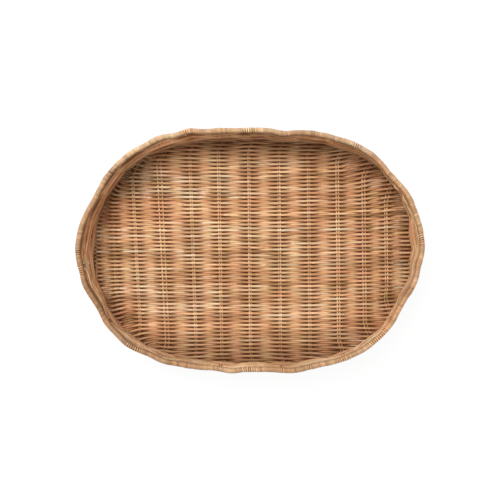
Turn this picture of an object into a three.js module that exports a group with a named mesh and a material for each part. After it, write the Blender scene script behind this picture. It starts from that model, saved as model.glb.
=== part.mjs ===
// Oval rattan tray. A plain woven floor lies over twin-cane stakes, the stakes turn up into a wall
// woven in slewed courses, and a cane hoop lapped with flat cane closes the top.
// Millimetres, +Z up, +X along the tray. The origin is on the standing plane, under the middle.
import * as THREE from 'three';

// Overall size
const overallLength = 500;
const overallWidth = 350;
const overallHeight = 62;

// Plan: |x / a| ^ sidePower + |y / b| ^ endPower = 1, slightly pointed at the ends, with a blunter floor
const sidePower = 2.8;
const endPower = 1.9;
const floorSidePower = 3;
const floorEndPower = 2.2;

// Rim
const rimDiameter = 8.6; // over the lapping where a stake comes up
const rimSwell = 0.35; // how far the lapping stands out there
const lappingThickness = 0.9;
const lappingSides = 7;
const coreSides = 5;

// Wall
const endLean = 5; // how far it leans out from floor to rim at the two ends
const sideLean = 1; // and at the middle of the sides
const courseCount = 5;
const courseThickness = 2.6;
const waleThickness = 2.8;

// Stakes, each a pair of canes side by side
const stakePairs = 15; // pairs of opposite stakes round the oval
const stakeDiameter = 3.2;
const stakeGroove = 0.8; // half the thickness left in the groove between the two
const stakeBend = 3; // radius of the turn from floor to wall
const bendSteps = 2;
const ribFacing = 0.5; // stakes cross the floor where the wall faces at least this much across the tray

// Floor weavers
const weaverWidth = 2.6;
const rowGap = 0.33;
const weaverCount = 14; // long canes, each turned back several times

// Clearances
const seatGap = 0.3; // between canes that lie against each other
const crossingGap = 0.6; // where a weaver passes over a stake
const waleGap = 0.5; // between the wale and the stakes inside it
const footRise = 0.5; // floor above the standing plane

// Sizes that follow
const stakeCount = 2 * stakePairs;
const ringSteps = 2 * stakeCount; // one at each stake and one between
const rimRadius = rimDiameter / 2;
const stakeRadius = stakeDiameter / 2;
const weaverHalf = weaverWidth / 2;
const rowPitch = weaverWidth + rowGap;
const turnClear = stakeDiameter + seatGap + weaverWidth / 2; // middle of a turn from the middle of a stake
const twistRun = 2 * stakeDiameter; // over which a stake turns square to the rows
const edgeSteps = 400; // points along half of the floor's edge
const leanSteps = 40; // halvings of the search for the floor's outline
const weaverRise = stakeRadius + crossingGap + weaverHalf;
const floorMiddle = footRise + weaverHalf + weaverRise;
const courseRise = stakeRadius + crossingGap + courseThickness / 2;
const stakeStands = floorMiddle + stakeBend;
const rimHeight = overallHeight - rimRadius;
const wallRise = rimHeight - floorMiddle;
const rimHalfLength = overallLength / 2 - rimRadius;
const rimHalfWidth = overallWidth / 2 - rimRadius;
const floorHalfLength = rimHalfLength - endLean;
const floorHalfWidth = rimHalfWidth - sideLean;
const lappingRadius = rimRadius - rimSwell;
const lappingBore = lappingRadius - lappingThickness;
const slotHalf = stakeRadius + 2 * seatGap;
const boreSlot = Math.asin(slotHalf / lappingBore);
const coreRadius = lappingBore * Math.cos((Math.PI - boreSlot) / lappingSides) - seatGap;
const stakeTop = rimHeight - coreRadius - seatGap;
const floorTop = floorMiddle + weaverRise + weaverHalf;
const waleHeight = floorTop;
const courseBottom = waleHeight + seatGap;
const courseTop = rimHeight - rimRadius - seatGap;
const coursePitch = (courseTop - courseBottom + seatGap) / courseCount;
const courseHeight = coursePitch - seatGap;

const up = new THREE.Vector3(0, 0, 1);

const weaverCane = new THREE.MeshStandardMaterial({ color: 0xbb8f69, roughness: 0.6, metalness: 0 });
const stakeCane = new THREE.MeshStandardMaterial({ color: 0xc89f72, roughness: 0.6, metalness: 0 });
const wallCane = new THREE.MeshStandardMaterial({ color: 0xb08660, roughness: 0.6, metalness: 0 });
const hoopCane = new THREE.MeshStandardMaterial({ color: 0xa87d55, roughness: 0.65, metalness: 0 });
const flatCane = new THREE.MeshStandardMaterial({ color: 0xc89c75, roughness: 0.5, metalness: 0 });

// The rim's middle line, clockwise from the middle of the back
class RimLine extends THREE.Curve {
  getPoint(share, target = new THREE.Vector3()) {
    const angle = 2 * Math.PI * share;
    const x = rimHalfLength * signedPower(Math.sin(angle), 2 / sidePower);
    const y = rimHalfWidth * signedPower(Math.cos(angle), 2 / endPower);
    return target.set(x, y, 0);
  }
}

function signedPower(value, power) {
  return Math.sign(value) * Math.abs(value) ** power;
}

const rimLine = new RimLine();
rimLine.arcLengthDivisions = 4000;

// A place on the rim line, with the directions outwards and along it and the wall's lean there
function planAt(share) {
  const wrapped = share - Math.floor(share);
  const at = rimLine.getPointAt(wrapped);
  const along = rimLine.getTangentAt(wrapped);
  const outward = new THREE.Vector3(-along.y, along.x, 0);
  return { at, along, outward, lean: leanAt(at, outward) };
}

// How far inside the rim the floor's outline lies, square to the rim: less than nothing where it lies outside
function leanAt(at, outward) {
  let [low, high] = [-wallRise, wallRise];
  for (let i = 0; i < leanSteps; i += 1) {
    const middle = (low + high) / 2;
    const { x, y } = at.clone().addScaledVector(outward, -middle);
    const lengthwise = Math.abs(x / floorHalfLength) ** floorSidePower;
    const crosswise = Math.abs(y / floorHalfWidth) ** floorEndPower;
    [low, high] = lengthwise + crosswise < 1 ? [low, middle] : [middle, high];
  }
  return (low + high) / 2;
}

// A point of the wall: offset outwards from its middle line at that height
function wallPoint(plan, height, offset = 0) {
  const drop = (rimHeight - Math.max(height, floorMiddle)) / wallRise;
  return plan.at.clone().addScaledVector(plan.outward, offset - plan.lean * drop).setZ(height);
}

// Sections of a sweep, each a point with the two directions that its profile is drawn on
class CanePath extends THREE.Curve {
  constructor(stations) {
    super();
    this.stations = stations;
  }

  getSpacedPoints() {
    return this.stations.map((station) => station.at);
  }

  computeFrenetFrames() {
    return {
      tangents: [],
      normals: this.stations.map((station) => station.side),
      binormals: this.stations.map((station) => station.top),
    };
  }
}

// Stations with mitred corners along points that stay about level
function levelStations(points, closed = false) {
  const last = points.length - 1;
  return points.map((at, i) => {
    const before = points[i - 1] ?? (closed ? points[last] : null);
    const after = points[i + 1] ?? (closed ? points[0] : null);
    const leftIn = before ? leftOf(before, at) : leftOf(at, after);
    const leftOut = after ? leftOf(at, after) : leftIn;
    const side = leftIn.clone().add(leftOut).divideScalar(1 + leftIn.dot(leftOut));
    return { at, side, top: up };
  });
}

function leftOf(from, to) {
  return new THREE.Vector3(from.y - to.y, to.x - from.x, 0).normalize();
}

// A cane with two ends
function cane(profile, stations) {
  const extrudePath = new CanePath(stations);
  return new THREE.ExtrudeGeometry(new THREE.Shape(profile), { steps: stations.length - 1, extrudePath });
}

// A cane that closes on itself: the side walls of a sweep whose last section is its first
function hoop(profile, stations) {
  const open = cane(profile, [...stations, stations[0]]);
  const walls = open.groups.find((group) => group.materialIndex === 1);
  const corners = open.getAttribute('position').array.slice(3 * walls.start, 3 * (walls.start + walls.count));
  const geometry = new THREE.BufferGeometry();
  geometry.setAttribute('position', new THREE.BufferAttribute(corners, 3));
  geometry.computeVertexNormals();
  return geometry;
}

function addMesh(name, geometry, material) {
  const mesh = new THREE.Mesh(geometry, material);
  mesh.name = name;
  tray.add(mesh);
}

function numbers(count) {
  return Array.from({ length: count }, (_, i) => i);
}

function roundProfile(radius, sides) {
  return numbers(sides).map((i) => {
    const angle = (2 * Math.PI * (i + 0.5)) / sides;
    return new THREE.Vector2(radius * Math.cos(angle), radius * Math.sin(angle));
  });
}

function bandProfile(thickness, height) {
  const x = thickness / 2;
  const y = height / 2;
  return [[-x, -y], [x, -y], [x, y], [-x, y]].map((corner) => new THREE.Vector2(...corner));
}

// Two canes side by side, as one outline with a groove between them
function twinProfile() {
  const outer = [[stakeRadius, -stakeRadius], [stakeDiameter, 0], [stakeRadius, stakeRadius]];
  const half = [[0, -stakeGroove], ...outer];
  const rest = half.map(([x, y]) => [-x, -y]);
  return [...half, ...rest].map((corner) => new THREE.Vector2(...corner));
}

// Flat cane wound round the hoop, open below where the stakes come up
function lappingProfile() {
  const outside = slottedArc(lappingRadius);
  const inside = slottedArc(lappingBore);
  return [...outside, ...inside.reverse()];
}

function slottedArc(radius) {
  const slot = Math.asin(slotHalf / radius);
  return numbers(lappingSides + 1).map((i) => {
    const angle = -Math.PI / 2 + slot + (2 * (Math.PI - slot) * i) / lappingSides;
    return new THREE.Vector2(radius * Math.cos(angle), radius * Math.sin(angle));
  });
}

// Stakes round the oval: a rib crosses the floor from wall to wall, an end stake stands in the wall alone
const stakes = numbers(stakeCount).map((k) => planAt(k / stakeCount));
const ribs = stakes
  .filter((plan) => plan.outward.y > ribFacing)
  .sort((a, b) => a.at.x - b.at.x);
const endStakes = stakes.filter((plan) => Math.abs(plan.outward.y) <= ribFacing);
const ribPlaces = ribs.map((plan) => wallPoint(plan, stakeStands).x);

// Back half of a rib, from its top down the wall and round the bend to the floor
function ribHalf(plan) {
  const inward = plan.outward.clone().negate();
  const stand = wallPoint(plan, stakeStands);
  const floorwards = new THREE.Vector3(0, -1, 0);
  const bend = numbers(bendSteps + 1).map((i) => {
    const turn = (Math.PI / 2) * (i / bendSteps);
    const at = stand.clone();
    at.addScaledVector(floorwards, stakeBend * (1 - Math.cos(turn)));
    at.addScaledVector(up, -stakeBend * Math.sin(turn));
    const top = inward.clone().multiplyScalar(Math.cos(turn)).addScaledVector(up, Math.sin(turn));
    return { at, side: plan.along, top };
  });
  const onFloor = bend.at(-1).at.clone().addScaledVector(floorwards, twistRun);
  const tip = { at: wallPoint(plan, stakeTop), side: plan.along, top: inward };
  return [tip, ...bend, { at: onFloor, side: new THREE.Vector3(1, 0, 0), top: up }];
}

function mirrored(station) {
  const across = new THREE.Vector3(1, -1, 1);
  return {
    at: station.at.clone().multiply(across),
    side: station.side.clone().multiply(across),
    top: station.top.clone().multiply(across),
  };
}

function addStakes() {
  ribs.forEach((plan, i) => {
    const back = ribHalf(plan);
    const front = back.map(mirrored).reverse();
    addMesh(`stake_${padded(i + 1)}`, cane(twinProfile(), [...back, ...front]), stakeCane);
  });
  endStakes.forEach((plan, i) => {
    const top = new THREE.Vector3().crossVectors(up, plan.along);
    const heights = [footRise, floorMiddle, stakeTop];
    const stations = heights.map((height) => ({ at: wallPoint(plan, height), side: plan.along, top }));
    addMesh(`end_stake_${padded(i + 1)}`, cane(twinProfile(), stations), stakeCane);
  });
}

// Right half of the floor's edge, from back to front, as far as the middle of a weaver may reach
const floorInset = stakeRadius + seatGap + weaverHalf * Math.SQRT2;
const floorEdge = numbers(edgeSteps + 1).map((i) => wallPoint(planAt(i / (2 * edgeSteps)), 0, -floorInset));

// Half the floor's length at a distance across the tray, nothing past the edge
function edgeAt(y) {
  const next = floorEdge.findIndex((point) => point.y <= Math.abs(y));
  if (next === 0) return 0;
  const [a, b] = [floorEdge[next - 1], floorEdge[next]];
  return THREE.MathUtils.mapLinear(Math.abs(y), a.y, b.y, a.x, b.x);
}

// Where a row turns back, kept off the stake that it would otherwise stop against
function rowEnd(...rows) {
  const reach = Math.min(...rows.map((row) => edgeAt(row * rowPitch)));
  const stake = ribPlaces.find((x) => Math.abs(x - reach) < turnClear);
  return stake === undefined ? reach : stake - turnClear;
}

// Height of a row's middle: over one stake, under the next
function rowHeight(row, x) {
  const places = [-overallLength / 2, ...ribPlaces, overallLength / 2];
  const next = Math.max(places.findIndex((place) => place >= x), 1);
  const rise = (next + row) % 2 === 0 ? weaverRise : -weaverRise;
  return floorMiddle + THREE.MathUtils.mapLinear(x, places[next - 1], places[next], -rise, rise);
}

function rowPoints(row, left, right) {
  const crossed = ribPlaces.filter((x) => x > -left && x < right);
  return [-left, ...crossed, right].map((x) => new THREE.Vector3(x, row * rowPitch, rowHeight(row, x)));
}

// One weaver goes along the floor and back, turning round the outermost stake that two rows share
function weaverPoints(rows) {
  return rows.flatMap((row, i) => {
    const after = rows[i + 1] ?? row;
    const before = rows[i - 1] ?? row;
    const rightwards = i % 2 === 0;
    const right = rowEnd(row, rightwards ? after : before);
    const left = rowEnd(row, rightwards ? before : after);
    const points = rowPoints(row, left, right);
    return rightwards ? points : points.reverse();
  });
}

function addFloor() {
  const besideMiddle = ribPlaces.find((x) => x > turnClear);
  let reach = 0;
  while (edgeAt((reach + 1) * rowPitch) > besideMiddle + turnClear) {
    reach += 1;
  }
  const rows = numbers(2 * reach + 1).map((i) => i - reach);
  const profile = [[-weaverHalf, -weaverHalf], [weaverHalf, -weaverHalf], [0, weaverHalf]];
  const section = profile.map((corner) => new THREE.Vector2(...corner));
  const rowsEach = rows.length / weaverCount;
  for (let i = 0; i < weaverCount; i += 1) {
    const points = weaverPoints(rows.slice(Math.round(i * rowsEach), Math.round((i + 1) * rowsEach)));
    addMesh(`floor_weaver_${padded(i + 1)}`, cane(section, levelStations(points)), weaverCane);
  }
}

// Courses of the wall, each in front of one stake and behind the next
function addWall() {
  const ring = numbers(ringSteps).map((j) => planAt(j / ringSteps));
  const waleOffset = stakeRadius + waleGap + waleThickness / 2;
  const walePoints = ring.map((plan) => wallPoint(plan, waleHeight / 2, waleOffset));
  const waleProfile = bandProfile(waleThickness, waleHeight);
  addMesh('foot_wale', hoop(waleProfile, levelStations(walePoints, true)), wallCane);
  for (let course = 0; course < courseCount; course += 1) {
    const height = courseBottom + course * coursePitch + courseHeight / 2;
    const points = ring.map((plan, j) => {
      const sway = courseRise * Math.cos(Math.PI * (j / 2 + course));
      return wallPoint(plan, height, sway);
    });
    const stations = levelStations(points, true).map((station, j) => {
      return { ...station, top: up.clone().addScaledVector(ring[j].outward, ring[j].lean / wallRise) };
    });
    const profile = bandProfile(courseThickness, courseHeight);
    addMesh(`wall_course_${course + 1}`, hoop(profile, stations), wallCane);
  }
}

// The hoop on top of the stakes, and the lapping round it, which stands out over each stake
function addRim() {
  const points = numbers(ringSteps).map((j) => planAt(j / ringSteps).at.setZ(rimHeight));
  const stations = levelStations(points, true);
  addMesh('rim_core', hoop(roundProfile(coreRadius, coreSides), stations), hoopCane);
  const swollen = stations.map(({ at, side, top }, j) => {
    const scale = j % 2 === 0 ? 1 + rimSwell / lappingRadius : 1;
    return { at, side: side.clone().multiplyScalar(scale), top: top.clone().multiplyScalar(scale) };
  });
  addMesh('rim_lapping', hoop(lappingProfile(), swollen), flatCane);
}

function padded(number) {
  return String(number).padStart(2, '0');
}

const tray = new THREE.Group();
addStakes();
addFloor();
addWall();
addRim();

export default tray;
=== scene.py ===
import bisect
import math
import random

import bpy
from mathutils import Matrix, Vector, noise


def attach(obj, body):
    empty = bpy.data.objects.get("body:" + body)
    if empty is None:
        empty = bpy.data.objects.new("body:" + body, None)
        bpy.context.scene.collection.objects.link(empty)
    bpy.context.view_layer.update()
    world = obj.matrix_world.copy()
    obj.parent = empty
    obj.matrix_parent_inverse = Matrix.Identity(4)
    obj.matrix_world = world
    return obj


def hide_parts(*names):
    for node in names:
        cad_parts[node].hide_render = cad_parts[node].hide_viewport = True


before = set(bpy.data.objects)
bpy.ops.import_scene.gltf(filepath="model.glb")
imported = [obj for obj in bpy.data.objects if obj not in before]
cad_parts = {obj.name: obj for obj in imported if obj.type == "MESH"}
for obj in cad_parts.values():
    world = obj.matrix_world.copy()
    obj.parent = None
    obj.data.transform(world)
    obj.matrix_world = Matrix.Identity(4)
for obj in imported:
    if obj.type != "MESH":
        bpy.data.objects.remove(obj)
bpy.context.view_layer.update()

print("frame:", len(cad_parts), "solids")

# Plan and heights of the tray in metres, the same oval as the solids
oval = {
    "halfLength": 0.2457,  # to the middle of the rim
    "halfWidth": 0.1707,
    "sidePower": 2.8,  # full along the sides
    "endPower": 1.9,  # slightly pointed at the ends
    "rimHeight": 0.0577,
    "floorHeight": 0.0053,  # middle of the stakes in the floor
    "endLean": 0.005,  # how far the wall leans out at the two ends
    "sideLean": 0.001,  # and along the sides
    "mostLean": 0.03,  # it is looked for up to here
    "floorSidePower": 3.0,  # the floor is blunter than the rim
    "floorEndPower": 2.2,
    "stakes": 30,
    "ribFacing": 0.5,  # stakes that face the back more than this run across the floor
    "steps": 4000,  # points along the outline
    "halvings": 24,  # when a place is searched for
}
floorHalfLength = oval["halfLength"] - oval["endLean"]
floorHalfWidth = oval["halfWidth"] - oval["sideLean"]

# Unevenness of handwork, shared by all pieces so that they stay together
hand = {
    "rimWaves": [(0.0005, 4, 3.7), (0.0008, 9.5, 8.1)],  # in and out along the rim: distance, how often, seed
    "rimZone": (0.7, 1),  # bulges grow over this share of the way out
    "rowWave": 0.0011,  # rows drift across the floor
    "rowWaves": (9, 14, 1.3),  # how often along and across, seed
    "floorZone": (0.8, 1),  # drift of rows and stakes fades over this share
    "rightRise": 0.004,  # the right end sits a little to the back
    "rightEnd": (0.08, 0.24),
    "stakeLeans": [(-0.02, -0.1, 0.006), (-0.1, -0.15, 0.003), (-0.09, -0.04, 0.0017)],  # from, to, change
    "stakeShift": -0.0019,  # the stakes lie a little to the left
    "stakeShifts": [  # more or less so from place to place: from, to, change
        (-0.190, -0.165, -0.0016), (-0.140, -0.110, 0.0014), (-0.085, -0.040, -0.0039),
        (0.120, 0.170, -0.0018),
    ],
    "floorHold": 0.25,  # share of a bulge that reaches down to the floor
    "deepBulges": [(340, 7, -0.0062)],  # pressed in from the rim to the floor
    "tuckHeights": (0.012, 0.044, 0.0465, 0.0565),  # where a tuck begins, is full, fades and ends
    "tucks": [  # the wall bows inwards under the rim along the front
        (200, 8, -0.0030), (222, 14, -0.0046), (252, 16, -0.0036), (286, 18, -0.0042),
        (318, 16, -0.0048), (343, 10, -0.0036),
    ],
    "bulges": [  # where the rim is pressed in or out: direction and spread in degrees, distance
        (12, 7, -0.0015), (27, 6.5, -0.0052), (45, 5, 0.0022), (56, 2.5, 0.0012), (59, 6, 0.0010),
        (74, 4.5, -0.0038), (118, 4, 0.0045), (129.5, 6, 0.0046), (141, 5, 0.0023), (162, 7.5, -0.0044),
        (180, 3, 0.0011), (188, 3.5, -0.0012), (200, 5.5, -0.0050), (217, 4.5, 0.0029),
        (232, 3, 0.0013), (252, 4, -0.0010), (261, 4, 0.0022), (290, 8, 0.0033), (316, 11, 0.0031),
        (353, 4.5, -0.0026),
    ],
}


def signedPower(value, power):
    return math.copysign(abs(value) ** power, value)


def clamp(value, low=0.0, high=1.0):
    return min(max(value, low), high)


def smoothStep(low, high, value):
    t = clamp((value - low) / (high - low))
    return t * t * (3 - 2 * t)


def dimmed(fade, value):  # 1, then less: fade is by how much, from where, to where
    amount, start, end = fade
    return 1 - amount * smoothStep(start, end, value)


def halved(low, high, inside):  # the place between low and high where inside ends
    for _ in range(oval["halvings"]):
        middle = (low + high) / 2
        low, high = (middle, high) if inside(middle) else (low, middle)
    return middle


def lengthsOf(points):
    lengths = [0.0]
    for a, b in zip(points, points[1:]):
        lengths.append(lengths[-1] + (b - a).length)
    return lengths


def ovalPoint(turn):  # clockwise from the middle of the back
    angle = 2 * math.pi * turn
    x = oval["halfLength"] * signedPower(math.sin(angle), 2 / oval["sidePower"])
    y = oval["halfWidth"] * signedPower(math.cos(angle), 2 / oval["endPower"])
    return Vector((x, y, 0))


rimPoints = [ovalPoint(i / oval["steps"]) for i in range(oval["steps"] + 1)]
rimLengths = lengthsOf(rimPoints)


def rimAt(share):  # point, direction along and direction outwards
    target = (share % 1.0) * rimLengths[-1]
    i = min(bisect.bisect_right(rimLengths, target), oval["steps"])
    a, b = rimPoints[i - 1], rimPoints[i]
    t = (target - rimLengths[i - 1]) / (rimLengths[i] - rimLengths[i - 1])
    along = (b - a).normalized()
    return a.lerp(b, t), along, Vector((-along.y, along.x, 0))


def edgeShare(x, y):  # 0 in the middle, 1 on the rim
    return abs(x / oval["halfLength"]) ** oval["sidePower"] + abs(y / oval["halfWidth"]) ** oval["endPower"]


def floorShare(x, y, inset=0.0):  # 0 in the middle, 1 where the wall meets the floor
    along = abs(x / (floorHalfLength - inset)) ** oval["floorSidePower"]
    return along + abs(y / (floorHalfWidth - inset)) ** oval["floorEndPower"]


def leanAt(at, outward):  # how far the floor's outline lies inside the rim, less than 0 outside it
    def outside(lean):
        foot = at - outward * lean
        return floorShare(foot.x, foot.y) >= 1

    return halved(-oval["mostLean"], oval["mostLean"], outside)


def wallPoint(share, height, offset=0.0):
    at, _, outward = rimAt(share)
    rise = (height - oval["floorHeight"]) / (oval["rimHeight"] - oval["floorHeight"])
    point = at + outward * (leanAt(at, outward) * (clamp(rise) - 1) + offset)
    point.z = height
    return point


def directionOf(point):  # from the middle of the tray, in degrees
    return math.degrees(math.atan2(point.y, point.x))


def turnBetween(first, second):
    return (first - second + 180) % 360 - 180


def pressedIn(places, direction):  # sum of soft bumps round the oval
    total = 0.0
    for centre, spread, change in places:
        total += change * math.exp(-(turnBetween(direction, centre) / spread) ** 2)
    return total


def spotted(spots, x, y):  # sum of soft spots on the floor
    total = 0.0
    for atX, atY, along, across, change in spots:
        total += change * math.exp(-(((x - atX) / along) ** 2 + ((y - atY) / across) ** 2))
    return total


def stepped(steps, x):  # sum of soft steps along the tray
    return sum(change * smoothStep(start, end, x) for start, end, change in steps)


def settle(point):
    x, y, z = point
    edge = edgeShare(x, y)
    angle = math.atan2(y / oval["halfWidth"], x / oval["halfLength"])
    outward = Vector((math.cos(angle), math.sin(angle), 0))
    bump = 0.0
    for distance, often, seed in hand["rimWaves"]:
        bump += distance * noise.noise(Vector((*(outward.xy * often), seed)))
    direction = directionOf(point)
    hold = hand["floorHold"]
    held = hold + (1 - hold) * smoothStep(oval["floorHeight"], oval["rimHeight"], z)
    bump += held * pressedIn(hand["bulges"], direction) + pressedIn(hand["deepBulges"], direction)
    begin, full, fade, end = hand["tuckHeights"]
    tuck = smoothStep(begin, full, z) * (1 - smoothStep(fade, end, z))
    bump += tuck * pressedIn(hand["tucks"], direction)
    moved = point + outward * (bump * smoothStep(*hand["rimZone"], edge))
    inner = 1 - smoothStep(*hand["floorZone"], edge)
    along, across, seed = hand["rowWaves"]
    moved.y += hand["rowWave"] * noise.noise(Vector((along * x, across * y, seed))) * inner
    moved.y += hand["rightRise"] * smoothStep(*hand["rightEnd"], x)
    lean = stepped(hand["stakeLeans"], x) * y / oval["halfWidth"]
    moved.x += (hand["stakeShift"] + stepped(hand["stakeShifts"], x) - lean) * inner
    return moved


# Node helpers
nodeGrid = {"perColumn": 8, "across": 200, "down": -180}  # places in the node editor


def feed(tree, socket, value):  # a link from a socket, or a plain value
    if isinstance(value, bpy.types.NodeSocket):
        tree.links.new(value, socket)
    else:
        socket.default_value = value


def addNode(tree, kind, inputs=None, **settings):
    column, row = divmod(len(tree.nodes), nodeGrid["perColumn"])
    node = tree.nodes.new(kind)
    node.location = (column * nodeGrid["across"], row * nodeGrid["down"])
    for key, value in settings.items():
        setattr(node, key, value)
    for key, value in (inputs or {}).items():
        feed(tree, node.inputs[key], value)
    return node


def calc(tree, operation, *values, clampResult=False):
    inputs = dict(enumerate(values))
    return addNode(tree, "ShaderNodeMath", inputs, operation=operation, use_clamp=clampResult).outputs[0]


def ramped(tree, value, low, high, toLow=0.0, toHigh=1.0):
    inputs = dict(enumerate((value, low, high, toLow, toHigh)))
    return addNode(tree, "ShaderNodeMapRange", inputs, interpolation_type="SMOOTHSTEP").outputs[0]


def mixed(tree, share, first, second, blend="MIX"):
    inputs = {0: share, 6: first, 7: second}
    return addNode(tree, "ShaderNodeMix", inputs, data_type="RGBA", blend_type=blend).outputs[2]


def vectorCalc(tree, operation, inputs):
    return addNode(tree, "ShaderNodeVectorMath", inputs, operation=operation).outputs[0]


def srgb(red, green, blue):
    def linear(c):
        c /= 255
        return c / 12.92 if c <= 0.04045 else ((c + 0.055) / 1.055) ** 2.4

    return (linear(red), linear(green), linear(blue), 1.0)


# Colour of the canes
rattan = {
    "tints": [  # from grey olive over pinkish tan to pale straw
        (0.0, srgb(160, 124, 82)),
        (0.22, srgb(190, 142, 96)),
        (0.42, srgb(208, 155, 112)),
        (0.62, srgb(222, 175, 130)),
        (0.82, srgb(236, 198, 156)),
        (1.0, srgb(246, 220, 182)),
    ],
    # colour of the painted shade between canes and where a cane dips, with some dirt
    "crevice": srgb(138, 66, 6),
    "creviceTone": (0.8, 0.2),  # painted shade in the crevices of dark canes is darker: share of the tone, and least
    # colour of the painted shade in corners: on the floor by the walls and on the wall under the rim
    "cornerShade": srgb(124, 80, 46),
    "fibreAlong": 60.0,  # fibres change slowly along a cane and fast across it
    "fibreAcross": 3.5,
    "fibreSeed": 37.0,  # times the tone, so that canes differ
    "fibreNoise": {"Scale": 1.0, "Detail": 4.0, "Roughness": 0.6},
    "fibreRange": (0.3, 0.7),
    "patchAlong": 14.0,  # patches of other tint along a cane
    "patchSeeds": (29.0, 53.0),  # times tint and tone
    "patchNoise": {"Scale": 1.0, "Detail": 2.0},
    "patchTint": 0.9,
    "cloudNoise": {"Scale": 26.0, "Detail": 3.0},  # clouds of tint over neighbouring canes
    "cloudTint": 0.7,
    "hueNoise": {"Scale": 46.0, "Detail": 2.0},  # clouds of pinker and greener hue
    "hueRange": (0.35, 0.65),
    "pinker": (1.02, 0.965, 0.97, 1.0),
    "greener": (0.99, 1.01, 0.95, 1.0),
    "shadeAndDirtRange": (0.55, 1.0),  # painted shade and dirt grow over this part of the way from a cane's middle to its side
    "depthRange": (0.2, 1.05),  # shade grows as a cane dips
    "satinRange": (0.2, 0.8),
    "satin": (0.62, 0.44),  # roughness of dark fibres and of pale ones
}
caneLook = {  # each piece gives only what is different on it
    "Gain": 0.9,
    "Side Shade And Dirt": 0.0,
    "Top Shade And Dirt": 0.0,
    "Depth Shade": 0.0,
    "Fibre": 0.14,
    "bump": 0.25,
    "bumpHeight": 0.0002,
    "specular": 0.25,
}


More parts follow.
